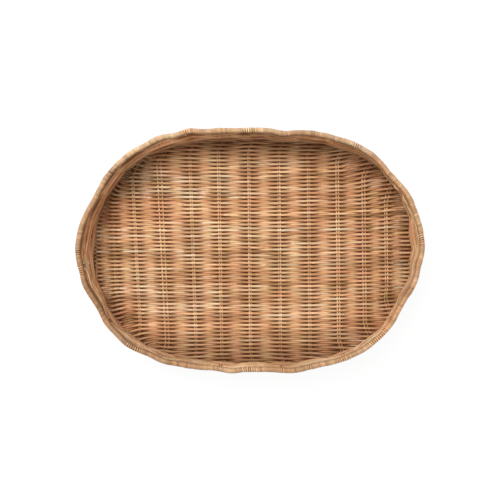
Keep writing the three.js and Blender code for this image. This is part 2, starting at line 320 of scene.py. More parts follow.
def makeRattanGroup():
    group = bpy.data.node_groups.new("rattanCane", "ShaderNodeTree")
    for name in ("Gain", "Side Shade And Dirt", "Top Shade And Dirt", "Depth Shade", "Fibre"):
        socket = group.interface.new_socket(name, in_out="INPUT", socket_type="NodeSocketFloat")
        socket.default_value = caneLook[name]
    for name, kind in (("Color", "Color"), ("Roughness", "Float"), ("Height", "Float")):
        group.interface.new_socket(name, in_out="OUTPUT", socket_type="NodeSocket" + kind)
    given = addNode(group, "NodeGroupInput").outputs

    def attribute(name, output="Fac"):
        return addNode(group, "ShaderNodeAttribute", attribute_name=name).outputs[output]

    def split(vector):
        return addNode(group, "ShaderNodeSeparateXYZ", {0: vector}).outputs

    def noiseAt(vector, settings):
        return addNode(group, "ShaderNodeTexNoise", {"Vector": vector, **settings}).outputs["Fac"]

    tint = attribute("tint")
    tone = attribute("tone")
    wave = attribute("wave")
    cornerShade = attribute("cornerShade")
    along = attribute("along")
    across = split(attribute("across", "Vector"))
    normal = split(addNode(group, "ShaderNodeNewGeometry").outputs["Normal"])
    place = addNode(group, "ShaderNodeTexCoord").outputs["Object"]

    # fibres and patches along the cane, and clouds over it and its neighbours
    lifted = calc(group, "MULTIPLY", across[1], rattan["fibreAcross"])
    fibreAt = {
        0: calc(group, "MULTIPLY", along, rattan["fibreAlong"]),
        1: calc(group, "MULTIPLY", across[0], rattan["fibreAcross"]),
        2: calc(group, "MULTIPLY_ADD", tone, rattan["fibreSeed"], lifted),
    }
    fibreAt = addNode(group, "ShaderNodeCombineXYZ", fibreAt).outputs[0]
    fibre = noiseAt(fibreAt, rattan["fibreNoise"])
    patchAt = {
        0: calc(group, "MULTIPLY", along, rattan["patchAlong"]),
        1: calc(group, "MULTIPLY", tint, rattan["patchSeeds"][0]),
        2: calc(group, "MULTIPLY", tone, rattan["patchSeeds"][1]),
    }
    patchAt = addNode(group, "ShaderNodeCombineXYZ", patchAt).outputs[0]
    patch = noiseAt(patchAt, rattan["patchNoise"])
    cloud = noiseAt(place, rattan["cloudNoise"])
    hue = noiseAt(place, rattan["hueNoise"])

    # clouds and patches change the tint either way
    middle = (rattan["cloudTint"] + rattan["patchTint"]) / 2
    lighter = calc(group, "SUBTRACT", tint, middle)
    lighter = calc(group, "MULTIPLY_ADD", cloud, rattan["cloudTint"], lighter)
    lighter = calc(group, "MULTIPLY_ADD", patch, rattan["patchTint"], lighter)
    ramp = addNode(group, "ShaderNodeValToRGB", {"Fac": lighter})
    while len(ramp.color_ramp.elements) < len(rattan["tints"]):
        ramp.color_ramp.elements.new(0.5)
    for element, (position, colour) in zip(ramp.color_ramp.elements, rattan["tints"]):
        element.position = position
        element.color = colour
    # painted shade in corners, darker and browner
    cornerShaded = mixed(group, cornerShade, ramp.outputs["Color"], rattan["cornerShade"])
    greener = ramped(group, hue, *rattan["hueRange"])
    aged = mixed(group, greener, rattan["pinker"], rattan["greener"])
    tinged = mixed(group, 1.0, cornerShaded, aged, "MULTIPLY")

    # brightness of the cane and its fibres
    fibreShade = ramped(group, fibre, *rattan["fibreRange"], -1.0, 1.0)
    gain = calc(group, "MULTIPLY_ADD", fibreShade, given["Fibre"], 1.0)
    gain = calc(group, "MULTIPLY", gain, tone)
    gain = calc(group, "MULTIPLY", gain, given["Gain"])
    lit = vectorCalc(group, "SCALE", {0: tinged, "Scale": gain})

    # painted shade and dirt where canes touch, and painted shade where one dips behind its neighbours
    sides = calc(group, "ABSOLUTE", across[0])
    sides = ramped(group, sides, *rattan["shadeAndDirtRange"])
    tops = calc(group, "ABSOLUTE", across[1])
    tops = ramped(group, tops, *rattan["shadeAndDirtRange"])
    shadeAndDirt = calc(group, "MULTIPLY", sides, given["Side Shade And Dirt"])
    shadeAndDirt = calc(group, "MULTIPLY_ADD", tops, given["Top Shade And Dirt"], shadeAndDirt)
    dip = calc(group, "MULTIPLY", wave, -1.0)
    dip = calc(group, "MULTIPLY", dip, normal[2])
    depth = ramped(group, dip, *rattan["depthRange"])
    dark = calc(group, "MULTIPLY_ADD", depth, given["Depth Shade"], shadeAndDirt, clampResult=True)
    deepTone = calc(group, "MULTIPLY_ADD", tone, *rattan["creviceTone"])
    deep = vectorCalc(group, "SCALE", {0: rattan["crevice"][:3], "Scale": deepTone})
    satin = ramped(group, fibre, *rattan["satinRange"], *rattan["satin"])
    results = {
        "Color": mixed(group, dark, lit, deep),
        "Roughness": calc(group, "MAXIMUM", satin, dark),
        "Height": fibre,
    }
    addNode(group, "NodeGroupOutput", results)
    return group


rattanGroup = makeRattanGroup()


def caneMaterial(name, own):
    look = caneLook | own
    material = bpy.data.materials.new(name)
    material.use_nodes = True
    tree = material.node_tree
    cane = addNode(tree, "ShaderNodeGroup", node_tree=rattanGroup)
    for socket in cane.inputs:
        socket.default_value = look[socket.name]
    relief = {"Strength": look["bump"], "Distance": look["bumpHeight"], "Height": cane.outputs["Height"]}
    finish = {
        "Base Color": cane.outputs["Color"],
        "Roughness": cane.outputs["Roughness"],
        "Normal": addNode(tree, "ShaderNodeBump", relief).outputs["Normal"],
        "Specular IOR Level": look["specular"],
    }
    for key, value in finish.items():
        feed(tree, tree.nodes["Principled BSDF"].inputs[key], value)
    return material


# Canes grown along lines of points
caneShape = {  # each piece gives only what is different on it
    "Sides": 10,
    "Width": 1.0,
    "Height": 1.0,
    "Roundness": 1.0,
    "Wobble": 0.0002,
    "Swelling": 0.1,
    "Grain": 70.0,
    "Seed": 1.0,
}


def makeCaneTree(name, normalMode):
    tree = bpy.data.node_groups.new(name, "GeometryNodeTree")
    tree.is_modifier = True
    tree.interface.new_socket("Geometry", in_out="INPUT", socket_type="NodeSocketGeometry")
    for label, value in caneShape.items():
        kind = "NodeSocketInt" if isinstance(value, int) else "NodeSocketFloat"
        socket = tree.interface.new_socket(label, in_out="INPUT", socket_type=kind)
        socket.default_value = value
    tree.interface.new_socket("Material", in_out="INPUT", socket_type="NodeSocketMaterial")
    tree.interface.new_socket("Geometry", in_out="OUTPUT", socket_type="NodeSocketGeometry")
    given = addNode(tree, "NodeGroupInput").outputs

    def step(kind, inputs=None, **settings):
        return addNode(tree, "GeometryNode" + kind, inputs, **settings).outputs[0]

    # the line of a cane, made uneven
    uneven = {"W": given["Seed"], "Scale": given["Grain"], "Detail": 1.0}
    uneven = addNode(tree, "ShaderNodeTexNoise", uneven, noise_dimensions="4D").outputs
    centred = vectorCalc(tree, "SUBTRACT", {0: uneven["Color"], 1: (0.5, 0.5, 0.5)})
    sway = vectorCalc(tree, "SCALE", {0: centred, "Scale": given["Wobble"]})
    line = step("MeshToCurve", {"Mesh": given["Geometry"]})
    line = step("SetPosition", {"Geometry": line, "Offset": sway})
    turned = {"Curve": line}
    if normalMode == "FREE":
        facing = {"Name": "facing"}
        turned["Normal"] = step("InputNamedAttribute", facing, data_type="FLOAT_VECTOR")
    line = step("SetCurveNormal", turned, mode=normalMode)
    length = addNode(tree, "GeometryNodeSplineParameter").outputs["Length"]
    measured = {"Geometry": line, "Name": "along", "Value": length}
    line = step("StoreNamedAttribute", measured, data_type="FLOAT", domain="POINT")

    # its section, a ring that is widened, flattened or squared
    corner = step("InputPosition")
    section = step("CurvePrimitiveCircle", {"Resolution": given["Sides"], "Radius": 1.0})
    marked = {"Geometry": section, "Name": "across", "Value": corner}
    section = step("StoreNamedAttribute", marked, data_type="FLOAT_VECTOR", domain="POINT")
    shares = addNode(tree, "ShaderNodeSeparateXYZ", {0: corner}).outputs
    placed = {}
    for axis, size in enumerate(("Width", "Height")):
        away = calc(tree, "ABSOLUTE", shares[axis])
        away = calc(tree, "POWER", away, given["Roundness"])
        away = calc(tree, "MULTIPLY", away, given[size])
        side = calc(tree, "SIGN", shares[axis])
        placed[axis] = calc(tree, "MULTIPLY", away, side)
    placed = addNode(tree, "ShaderNodeCombineXYZ", placed).outputs[0]
    section = step("SetPosition", {"Geometry": section, "Position": placed})

    # the cane itself
    radius = step("InputNamedAttribute", {"Name": "reedRadius"}, data_type="FLOAT")
    swelling = calc(tree, "SUBTRACT", uneven["Fac"], 0.5)
    swelling = calc(tree, "MULTIPLY_ADD", swelling, given["Swelling"], 1.0)
    scale = calc(tree, "MULTIPLY", radius, swelling)
    tube = {"Curve": line, "Profile Curve": section, "Scale": scale, "Fill Caps": True}
    cane = step("CurveToMesh", tube)
    cane = step("SetShadeSmooth", {"Geometry": cane})
    cane = step("RealizeInstances", {"Geometry": cane})
    cane = step("SetMaterial", {"Geometry": cane, "Material": given["Material"]})
    addNode(tree, "NodeGroupOutput", {"Geometry": cane})
    return tree


levelCane = makeCaneTree("levelCane", "Z_UP")
bentCane = makeCaneTree("bentCane", "MINIMUM_TWIST")
woundCane = makeCaneTree("woundCane", "FREE")


def strandLines(name, strands):
    mesh = bpy.data.meshes.new(name)
    points, edges, facing = [], [], []
    values = {"reedRadius": [], "tint": [], "tone": [], "wave": [], "cornerShade": []}
    for strand in strands:
        first, count = len(points), len(strand["points"])
        points += strand["points"]
        edges += [(first + i, first + i + 1) for i in range(count - 1)]
        if strand.get("closed"):
            edges.append((first + count - 1, first))
        for key, numbers in values.items():
            given = strand.get(key, 0.0)
            numbers += given if isinstance(given, list) else [given] * count
        facing += strand.get("facing", [])
    mesh.from_pydata(points, edges, [])
    for key, numbers in values.items():
        mesh.attributes.new(key, "FLOAT", "POINT").data.foreach_set("value", numbers)
    if facing:
        flat = [c for vector in facing for c in vector]
        mesh.attributes.new("facing", "FLOAT_VECTOR", "POINT").data.foreach_set("vector", flat)
    return mesh


def growPiece(name, strands, tree, shape, material, node):
    piece = bpy.data.objects.new(name, strandLines(name + "Lines", strands))
    bpy.context.scene.collection.objects.link(piece)
    modifier = piece.modifiers.new("grow", "NODES")
    modifier.node_group = tree
    values = {**shape, "Material": material}
    for item in tree.interface.items_tree:
        if item.item_type == "SOCKET" and item.in_out == "INPUT" and item.name in values:
            modifier[item.identifier] = values[item.name]
    depsgraph = bpy.context.evaluated_depsgraph_get()
    grown = bpy.data.meshes.new_from_object(
        piece.evaluated_get(depsgraph), preserve_all_data_layers=True, depsgraph=depsgraph
    )
    piece.modifiers.remove(modifier)
    lines, piece.data = piece.data, grown
    bpy.data.meshes.remove(lines)
    grown.name = name
    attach(piece, "root")
    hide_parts(node)


# One natural cane ends and the next begins somewhere along the work
naturalCane = {  # each piece gives only what is different on it
    "lengths": (0.6, 1.4),
    "tint": 0.56,
    "tintSpread": 0.13,
    "toneSpread": 0.07,
    "toneRange": (0.7, 1.2),
}


def caneColours(points, draw, own):
    cane = naturalCane | own
    tints, tones, end = [], [], 0.0
    for length in lengthsOf(points):
        if length >= end:
            end = length + draw.uniform(*cane["lengths"])
            tint = clamp(draw.gauss(cane["tint"], cane["tintSpread"]))
            tone = clamp(draw.gauss(1.0, cane["toneSpread"]), *cane["toneRange"])
        tints.append(tint)
        tones.append(tone)
    return tints, tones


# Stakes: twin canes
stakeCanes = {
    "radius": 0.0011,
    "pairs": [  # from the left: how far both canes lie from the middle, and how pale each one is
        (0.0016, 0.62, 0.56), (0.0015, 0.92, 0.90), (0.0028, 1.20, 1.08), (0.0015, 0.92, 1.00),
        (0.0017, 1.04, 1.00), (0.0015, 1.30, 0.80), (0.0015, 0.76, 1.20), (0.0015, 0.90, 0.80),
        (0.0019, 1.22, 1.30), (0.0021, 0.88, 0.92), (0.0017, 0.96, 1.00),
    ],
    "endPair": (0.0014, 0.7, 0.7),
    "tint": 0.68,
    "tintShare": 0.3,  # how far natural canes change it
    "brownBelow": 0.8,  # darker canes than this are browner
    "brown": 1.6,
    "edgeShade": 0.45,  # painted shade where they come to the walls
    "edgeTint": 0.35,  # and browner
    "sideZone": (0.6, 0.95),  # share of the way to the long walls where that begins and is full
    "endZone": (0.66, 0.92),  # and of the way to the edge of the floor
    "bend": 0.005,
    "bendSteps": 6,
    "turnRun": 0.3,  # a pair turns from the wall's direction to the tray's over this share of the floor
    "top": 0.0548,
    "foot": 0.0005,
    "floorSteps": 30,  # from a wall to the middle
    "wallSteps": 10,
    # Gain over 1 is painted light on canes that lie in the shade of the rows
    "look": {"Gain": 1.25, "Side Shade And Dirt": 0.25, "bump": 0.3},
    "shape": {"Wobble": 0.0005, "Swelling": 0.12, "Grain": 40.0, "Seed": 3.0},
    "natural": {"lengths": (1.0, 2.0)},
    "seed": 23,
}

# Floor: long weavers that turn back at the edge, over one stake and under the next
floorWeave = {
    "pitch": 0.00293,
    "reach": 57,  # rows on either side of the middle one
    "weavers": 14,
    "radius": 0.00148,
    "rise": 0.0028,
    "peak": 0.15,  # more pointed at the stakes than a plain wave
    "flatten": 0.1,  # canes spread where they cross over a stake
    "ride": 0.0003,  # and rise over each cane of it
    "rideFrom": 0.5,  # where the wave is higher than this
    "rideWidth": 0.0008,
    "rideSteps": 5,
    # rows are paler where they ride over a stake's cane: painted highlight and wear
    "rideShine": 0.17,
    "betweenLight": 0.45,  # less painted shade on rows under a stake, between its two canes
    "betweenWidth": 0.6,  # share of their distance from the middle
    "inset": 0.0006,  # rows stop this far inside the middle of the wall
    "endWall": 0.2385,  # middle of the end walls
    "endClear": 0.001,  # no other point is this near a row's end
    "turnBulge": 0.4,  # a turn goes this share of the pitch past the ends of its rows
    "turnShoulder": (0.7, 0.2, 0.6),  # share of the bulge, of the way across and of the wave
    "stepsPerStake": 12,
    "backShade": (0.23, 0.5, 1),  # painted shade towards the back, the front and the right: by how much, from, to
    "frontShade": (0.29, 0.5, 1),
    "rightShade": (0.05, 0.05, 0.2),
    "endShade": (0.15, 0.8, 0.98),  # and painted shade beside the two end walls
    "palest": (0.42, 0.4, 0.85),  # no pale straw near the long walls
    "cornerShade": (0.15, 0.6, 1),  # painted shade towards all walls
    "fanPeak": 27 / 4,  # so that rows two thirds of the way out fan out in full
    "bowFrom": 0.78,  # rows farther out than this share begin to follow the edge
    "fans": {  # rows turn outwards at their ends: how far, over which run, how much they follow the edge
        (-1, 1): (0.0055, 0.022, 0.4),
        (1, 1): (0.0095, 0.06, 0.4),
        (-1, -1): (0.0065, 0.03, 0.4),
        (1, -1): (-0.002, 0.06, 0.52),
    },
    "patches": [  # paler or redder rows: place, reach along and across, change
        (-0.189, 0.031, 0.080, 0.018, 0.16), (-0.005, 0.031, 0.090, 0.012, 0.10),
        (-0.100, -0.009, 0.140, 0.005, 0.14), (-0.118, -0.088, 0.083, 0.018, 0.12),
        (0.097, -0.073, 0.053, 0.021, 0.12), (-0.073, 0.115, 0.090, 0.021, 0.10),
        (-0.170, 0.070, 0.055, 0.022, -0.18), (-0.126, -0.016, 0.040, 0.010, -0.12),
        (0.010, -0.030, 0.040, 0.030, -0.06), (0.198, 0.017, 0.030, 0.060, -0.06),
        (0.228, -0.042, 0.012, 0.020, 0.30), (-0.192, -0.096, 0.014, 0.008, -0.50),
        (0.210, -0.075, 0.010, 0.007, -0.45),
    ],
    "shadows": [  # painted shadow in places, and painted light where the change is above 0: the same
        (-0.171, 0.100, 0.032, 0.024, -0.28), (-0.156, -0.058, 0.070, 0.050, -0.07),
        (0.070, 0.115, 0.070, 0.030, 0.08), (-0.203, 0.088, 0.018, 0.014, -0.20),
        (-0.168, 0.125, 0.024, 0.016, -0.26), (-0.105, 0.087, 0.030, 0.006, -0.14),
        (-0.024, 0.087, 0.018, 0.006, -0.13), (-0.073, 0.014, 0.035, 0.006, -0.12),
        (0.040, 0.014, 0.022, 0.006, -0.12),
    ],
    "look": {"Gain": 1.075, "Side Shade And Dirt": 0.13, "Depth Shade": 0.88, "Fibre": 0.2, "bump": 0.3},
    "shape": {"Sides": 8, "Width": 1.12, "Height": 0.96, "Wobble": 0.0007, "Swelling": 0.25, "Grain": 60.0},
    "natural": {"lengths": (0.07, 0.4), "tintSpread": 0.165, "toneSpread": 0.105},
    "seed": 11,
}

stakeShares = [k / oval["stakes"] for k in range(oval["stakes"])]
ribs = [share for share in stakeShares if rimAt(share)[2].y > oval["ribFacing"]]
ribs.sort(key=lambda share: rimAt(share)[0].x)
endStakes = [share for share in stakeShares if abs(rimAt(share)[2].y) <= oval["ribFacing"]]
ribPlaces = [wallPoint(share, oval["floorHeight"]).x for share in ribs]
crossings = [-floorWeave["endWall"], *ribPlaces, floorWeave["endWall"]]


def rowY(row, x):
    y = row * floorWeave["pitch"]
    share = min(abs(y) / floorHalfWidth, 1)
    reach = floorHalfLength * (1 - share ** oval["floorEndPower"]) ** (1 / oval["floorSidePower"])
    fan, run, follow = floorWeave["fans"][(1 if x > 0 else -1, 1 if y > 0 else -1)]
    near = 1 - smoothStep(0, run, reach - abs(x))
    spread = floorWeave["fanPeak"] * share * share * (1 - share)
    edge = (1 - min(abs(x / floorHalfLength), 1) ** oval["floorSidePower"]) ** (1 / oval["floorEndPower"])
    bow = follow * smoothStep(floorWeave["bowFrom"], 1, share) * floorHalfWidth * (1 - edge)
    return y + math.copysign(fan * spread * near - bow, y)


def rowEnd(row, side):
    def inside(x):
        return floorShare(x, rowY(row, side * x), floorWeave["inset"]) < 1

    return side * halved(0.0, oval["halfLength"], inside)


def rowWave(row, x):  # 1 over a stake, -1 under it
    after = next((i for i, place in enumerate(crossings) if place >= x), len(crossings) - 1)
    a, b = crossings[max(after - 1, 0)], crossings[max(after, 1)]
    sign = 1 if (after + row) % 2 == 0 else -1
    swing = -math.cos(math.pi * (x - a) / (b - a)) * sign
    return swing * abs(swing) ** floorWeave["peak"]


def nearestRib(x):
    return min(range(len(ribPlaces)), key=lambda i: abs(ribPlaces[i] - x))


def rowRide(x, y, wave):  # 1 on top of a stake's cane, less over dark ones and near the walls
    if wave < floorWeave["rideFrom"]:
        return 0.0
    rib = nearestRib(x)
    apart, left, right = stakeCanes["pairs"][rib]
    aside = abs(x - ribPlaces[rib]) - apart
    paleness = left if x < ribPlaces[rib] else right
    share = clamp(2 * paleness - 1) * (1 - smoothStep(*stakeCanes["sideZone"], abs(y) / floorHalfWidth))
    return share * math.exp(-(aside / floorWeave["rideWidth"]) ** 2)


def shadeWave(x, wave):  # wave as the painted shade takes it
    rib = nearestRib(x)
    aside = (x - ribPlaces[rib]) / (floorWeave["betweenWidth"] * stakeCanes["pairs"][rib][0])
    return wave * (1 - floorWeave["betweenLight"] * math.exp(-aside * aside))


def rowLine(row):  # points of a row with their wave, closer together at the stakes
    left, right = rowEnd(row, -1), rowEnd(row, 1)
    steps, near = floorWeave["stepsPerStake"], floorWeave["rideSteps"]
    places = [a + (b - a) * i / steps for a, b in zip(crossings, crossings[1:]) for i in range(steps)]
    for place in ribPlaces:
        places += [place + floorWeave["rideWidth"] * i for i in range(-near, near + 1) if i]
    clear = floorWeave["endClear"]
    inside = sorted(x for x in places if left + clear < x < right - clear)
    return [(x, rowY(row, x), rowWave(row, x)) for x in (left, *inside, right)]


def turnBack(end, start, side):  # rounded bend between the ends of two neighbouring rows
    bulge = side * floorWeave["pitch"] * floorWeave["turnBulge"]
    out, over, wave = floorWeave["turnShoulder"]
    return [
        (end[0] + bulge * out, end[1] * (1 - over) + start[1] * over, end[2] * wave),
        ((end[0] + start[0]) / 2 + bulge, (end[1] + start[1]) / 2, 0.0),
        (start[0] + bulge * out, end[1] * over + start[1] * (1 - over), start[2] * wave),
    ]


# painted shade on the floor's rows towards the walls, and painted shadow and light in places
def rowShade(x, y):
    shade = dimmed(floorWeave["backShade" if y > 0 else "frontShade"], abs(y) / floorHalfWidth)
    shade *= dimmed(floorWeave["rightShade"], x)
    shade *= dimmed(floorWeave["endShade"], abs(x) / floorHalfLength)
    return shade * (1 + spotted(floorWeave["shadows"], x, y))


def weaverStrand(rows, draw):
    path = []
    for i, row in enumerate(rows):
        line = rowLine(row)
        if i % 2:
            line.reverse()
        if path:
            path += turnBack(path[-1], line[0], 1 if i % 2 else -1)
        path += line
    rides = [rowRide(*place) for place in path]
    points = []
    for (x, y, wave), ride in zip(path, rides):
        height = oval["floorHeight"] + floorWeave["rise"] * wave + floorWeave["ride"] * ride
        points.append(settle(Vector((x, y, height))))
    tints, tones = caneColours(points, draw, floorWeave["natural"])
    radii, cornerShade = [], []
    mostCornerShade, *cornerShadeZone = floorWeave["cornerShade"]
    for i, ((x, y, wave), ride) in enumerate(zip(path, rides)):
        palest = dimmed(floorWeave["palest"], abs(y) / floorHalfWidth)
        tints[i] = clamp(tints[i] + spotted(floorWeave["patches"], x, y), 0.0, palest)
        tones[i] *= rowShade(x, y) * (1 + floorWeave["rideShine"] * ride)
        radii.append(floorWeave["radius"] * (1 + floorWeave["flatten"] * max(wave, 0)))
        cornerShade.append(mostCornerShade * smoothStep(*cornerShadeZone, floorShare(x, y)))
    return {
        "points": points, "reedRadius": radii, "tint": tints, "tone": tones, "cornerShade": cornerShade,
        "wave": [shadeWave(x, wave) for x, y, wave in path],
    }


def makeFloor():
    material = caneMaterial("floorCane", floorWeave["look"])
    draw = random.Random(floorWeave["seed"])
    rows = list(range(-floorWeave["reach"], floorWeave["reach"] + 1))
    each = len(rows) / floorWeave["weavers"]
    ends = [math.floor(i * each + 0.5) for i in range(floorWeave["weavers"] + 1)]
    for i, (first, last) in enumerate(zip(ends, ends[1:])):
        strand = weaverStrand(rows[first:last], draw)
        shape = floorWeave["shape"] | {"Seed": float(i)}
        name, node = f"floorWeaver_{i + 1:02d}", f"floor_weaver_{i + 1:02d}"
        growPiece(name, [strand], levelCane, shape, material, node)


makeFloor()
print("floor woven")

# Stakes across the floor and up both walls, or standing in the wall at the ends


def ribStations(share):  # back half, from the top down the wall and in along the floor
    along = rimAt(share)[1]
    bend, top, steps = stakeCanes["bend"], stakeCanes["top"], stakeCanes["wallSteps"]
    stand = oval["floorHeight"] + bend
    stations = [(wallPoint(share, top + (stand - top) * i / steps), along) for i in range(steps)]
    foot = wallPoint(share, stand)
    for i in range(stakeCanes["bendSteps"] + 1):
        turn = math.pi / 2 * i / stakeCanes["bendSteps"]
        drop = Vector((0, -bend * (1 - math.cos(turn)), -bend * math.sin(turn)))
        stations.append((foot + drop, along))
    start = stations[-1][0]
    for i in range(stakeCanes["floorSteps"]):
        way = (i + 1) / stakeCanes["floorSteps"]
        side = along.lerp(Vector((1, 0, 0)), smoothStep(0, stakeCanes["turnRun"], way)).normalized()
        stations.append((start.lerp(Vector((start.x, 0, start.z)), way), side))
    return stations


def mirrored(station):
    place, side = station
    flip = Vector((1, -1, 1))
    return place * flip, side * flip


def nearWall(point):  # 0 in the middle of the floor, 1 at the walls
    across = smoothStep(*stakeCanes["sideZone"], abs(point.y) / floorHalfWidth)
    return max(across, smoothStep(*stakeCanes["endZone"], floorShare(point.x, point.y)))


def twinStrands(stations, pair, draw):
    strands = []
    apart, *shades = pair
    for sign, shade in zip((-1, 1), shades):
        points = [settle(place + side * (sign * apart)) for place, side in stations]
        tints, tones = caneColours(points, draw, stakeCanes["natural"])
        tint = stakeCanes["tint"] - stakeCanes["brown"] * max(stakeCanes["brownBelow"] - shade, 0)
        for i, near in enumerate(map(nearWall, points)):
            tints[i] = clamp(tint + stakeCanes["tintShare"] * tints[i] - stakeCanes["edgeTint"] * near)
            tones[i] *= shade * (1 - stakeCanes["edgeShade"] * near)
        strands.append({"points": points, "reedRadius": stakeCanes["radius"], "tint": tints, "tone": tones})
    return strands


def makeStakes():
    material = caneMaterial("stakeCane", stakeCanes["look"])
    draw = random.Random(stakeCanes["seed"])

    def growPair(name, stations, pair, node):
        strands = twinStrands(stations, pair, draw)
        growPiece(name, strands, bentCane, stakeCanes["shape"], material, node)

    for i, (share, pair) in enumerate(zip(ribs, stakeCanes["pairs"])):
        back = ribStations(share)
        front = [mirrored(station) for station in reversed(back[:-1])]
        growPair(f"stakePair_{i + 1:02d}", back + front, pair, f"stake_{i + 1:02d}")
    steps, foot = stakeCanes["wallSteps"], stakeCanes["foot"]
    heights = [foot + (stakeCanes["top"] - foot) * j / steps for j in range(steps + 1)]
    for i, share in enumerate(endStakes):
        stations = [(wallPoint(share, height), rimAt(share)[1]) for height in heights]
        growPair(f"endStakePair_{i + 1:02d}", stations, stakeCanes["endPair"], f"end_stake_{i + 1:02d}")


makeStakes()
print("stakes set")

# Wall: five courses of three canes, in front of one stake and behind the next
wallWeave = {
    "bottom": 0.0104,
    "top": 0.0531,
    "courses": 5,
    "canes": 3,
    "radius": 0.0013,
    "sway": 0.0018,
    "flatten": 0.2,  # flatter at the stakes than a plain wave
    "drift": 0.0004,  # canes rise and fall a little
    "driftWaves": (40, 7.1, 3.3),  # how often round the tray, seeds of course and cane
    "stepsPerStake": 12,
    "pale": [0.04, 0.06, 0.08, 0.14, 0.16],  # paler tint of each course
    "shades": {  # canes darker or paler than the rest: course and cane, brightness
        (4, 2): 0.78, (4, 1): 1.08, (3, 2): 0.86, (1, 1): 0.88, (0, 0): 0.8,
    },
    "upperFrom": 2,  # courses from here on are upper ones
    "lights": [  # painted light and shade on the upper courses: direction and spread in degrees, change
        (0, 30, 0.08), (12, 12, 0.22), (30, 12, 0.2), (60, 12, 0.5), (86, 10, 0.1), (104, 7, -0.1),
        (122, 12, 0.36), (145, 9, 0.08), (172, 18, 0.32), (232, 14, -0.16), (262, 10, 0.14),
        (330, 14, 0.24),
    ],
    "lowerLights": [(90, 40, -0.12), (180, 30, 0.08), (0, 30, 0.06)],  # the same for the lower ones
    "gapCane": (4, 2),  # topmost cane, darker and browner: painted shade under the rim
    "gapShade": 0.6,
    "gapLights": [  # but less painted shade there, and painted light through gapShine
        (265, 20, 0.5), (62, 10, 0.9), (120, 12, 0.5), (90, 10, 0.4), (172, 12, 0.3), (212, 16, 0.45),
        (328, 12, 0.4), (12, 14, 0.45), (300, 12, 0.3),
    ],
    "gapShine": 0.4,
    "loose": [  # thin canes worked loose under the rim: two directions, height, inset
        (186.5, 194, 0.0515, 0.0056), (15.5, 19.5, 0.0530, 0.0052), (21, 24.5, 0.0530, 0.0050),
    ],
    "looseRadius": 0.0007,
    "looseSteps": 24,
    "looseSag": 0.002,  # their ends are lower than the middle
    "looseBow": 0.45,  # and lie nearer the wall
    # the loose canes are pale, and brighter by a painted highlight
    "looseTint": 0.85,
    "looseTone": 1.1,
    "searchSteps": 720,  # places tried round the rim
    "look": {"Gain": 0.91, "Top Shade And Dirt": 0.15},
    "shape": {
        "Width": 1.6, "Height": 1.16, "Roundness": 0.7,
        "Wobble": 0.0006, "Swelling": 0.2, "Grain": 50.0,
    },
    "firstShapeSeed": 20.0,
    "natural": {"lengths": (0.2, 0.9), "tintSpread": 0.15, "toneSpread": 0.13},
    "seed": 37,
}


def courseStrand(course, cane, draw):
    canes = wallWeave["courses"] * wallWeave["canes"]
    pitch = (wallWeave["top"] - wallWeave["bottom"]) / canes
    height = wallWeave["bottom"] + pitch * (course * wallWeave["canes"] + cane + 0.5)
    count = oval["stakes"] * wallWeave["stepsPerStake"]
    often, courseSeed, caneSeed = wallWeave["driftWaves"]
    points = []
    for i in range(count):
        share = i / count
        swing = math.cos(math.pi * (oval["stakes"] * share + course))
        swing *= 1 + wallWeave["flatten"] * (1 - swing * swing)
        drift = noise.noise(Vector((share * often, course * courseSeed, cane * caneSeed)))
        lifted = height + wallWeave["drift"] * drift
        points.append(settle(wallPoint(share, lifted, wallWeave["sway"] * swing)))
    tints, tones = caneColours(points, draw, wallWeave["natural"])
    tints = [tint + wallWeave["pale"][course] for tint in tints]
    own = wallWeave["shades"].get((course, cane), 1.0)
    lights = wallWeave["lights" if course >= wallWeave["upperFrom"] else "lowerLights"]
    cornerShade = [0.0] * count
    for i, direction in enumerate(map(directionOf, points)):
        shade = 1 + pressedIn(lights, direction)
        # the topmost cane carries painted shade under the rim, with painted light where gapLights say
        if (course, cane) == wallWeave["gapCane"]:
            light = pressedIn(wallWeave["gapLights"], direction)
            shade += wallWeave["gapShine"] * light
            cornerShade[i] = clamp(wallWeave["gapShade"] - light)
        tones[i] *= own * shade
    return {
        "points": points, "closed": True, "reedRadius": wallWeave["radius"],
        "tint": tints, "tone": tones, "cornerShade": cornerShade,
    }


def shareTowards(direction):  # place along the rim in a direction from the middle
    shares = [i / wallWeave["searchSteps"] for i in range(wallWeave["searchSteps"])]
    return min(shares, key=lambda share: abs(turnBetween(directionOf(rimAt(share)[0]), direction)))


def looseStrand(first, last, height, inset):
    a, b = shareTowards(first), shareTowards(last)
    steps = wallWeave["looseSteps"]
    points = []
    for i in range(steps + 1):
        ends = 1 - math.sin(math.pi * i / steps)
        sag, bow = wallWeave["looseSag"] * ends, wallWeave["looseBow"] * ends
        points.append(settle(wallPoint(a + (b - a) * i / steps, height - sag, -inset * (1 - bow))))
    return {
        "points": points, "reedRadius": wallWeave["looseRadius"],
        "tint": wallWeave["looseTint"], "tone": wallWeave["looseTone"],
    }


def makeWall():
    material = caneMaterial("wallCane", wallWeave["look"])
    draw = random.Random(wallWeave["seed"])
    for course in range(wallWeave["courses"]):
        strands = [courseStrand(course, cane, draw) for cane in range(wallWeave["canes"])]
        if course == wallWeave["courses"] - 1:
            strands += [looseStrand(*place) for place in wallWeave["loose"]]
        shape = wallWeave["shape"] | {"Seed": wallWeave["firstShapeSeed"] + course}
        name, node = f"wallCourse_{course + 1}", f"wall_course_{course + 1}"
        growPiece(name, strands, levelCane, shape, material, node)
    return material


wallMaterial = makeWall()
print("wall woven")

